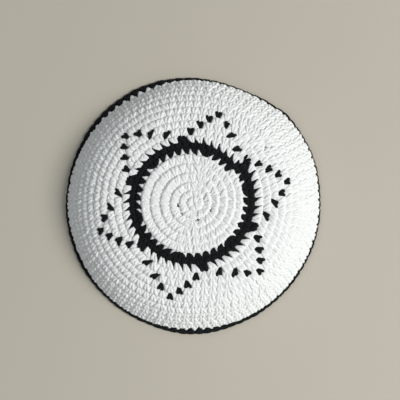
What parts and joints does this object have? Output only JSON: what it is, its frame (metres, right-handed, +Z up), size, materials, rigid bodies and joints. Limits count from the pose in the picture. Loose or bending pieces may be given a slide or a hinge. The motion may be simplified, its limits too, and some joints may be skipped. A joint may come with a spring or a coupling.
{
  "type": "kippah skullcap",
  "caption": "Round crocheted cotton skullcap with a shallow open dome, a dark ring band, a star outline worked in the stitches and a dark edging round the rim.",
  "frame": {"origin": "under the middle of the cap, on the surface that its rim rests on", "axes": "+Z up through the crown; +X is 45 degrees clockwise, seen from above, from where the spiral of rounds ends"},
  "size_m": [0.1596, 0.1588, 0.0333],
  "materials": {
    "white_yarn": "matte crocheted cotton",
    "black_yarn": "matte crocheted cotton"
  },
  "bodies": {
    "root": {"crown_disc": "white_yarn", "ring_band": "black_yarn", "side_wall": "white_yarn", "edging": "black_yarn"}
  },
  "joints": []
}
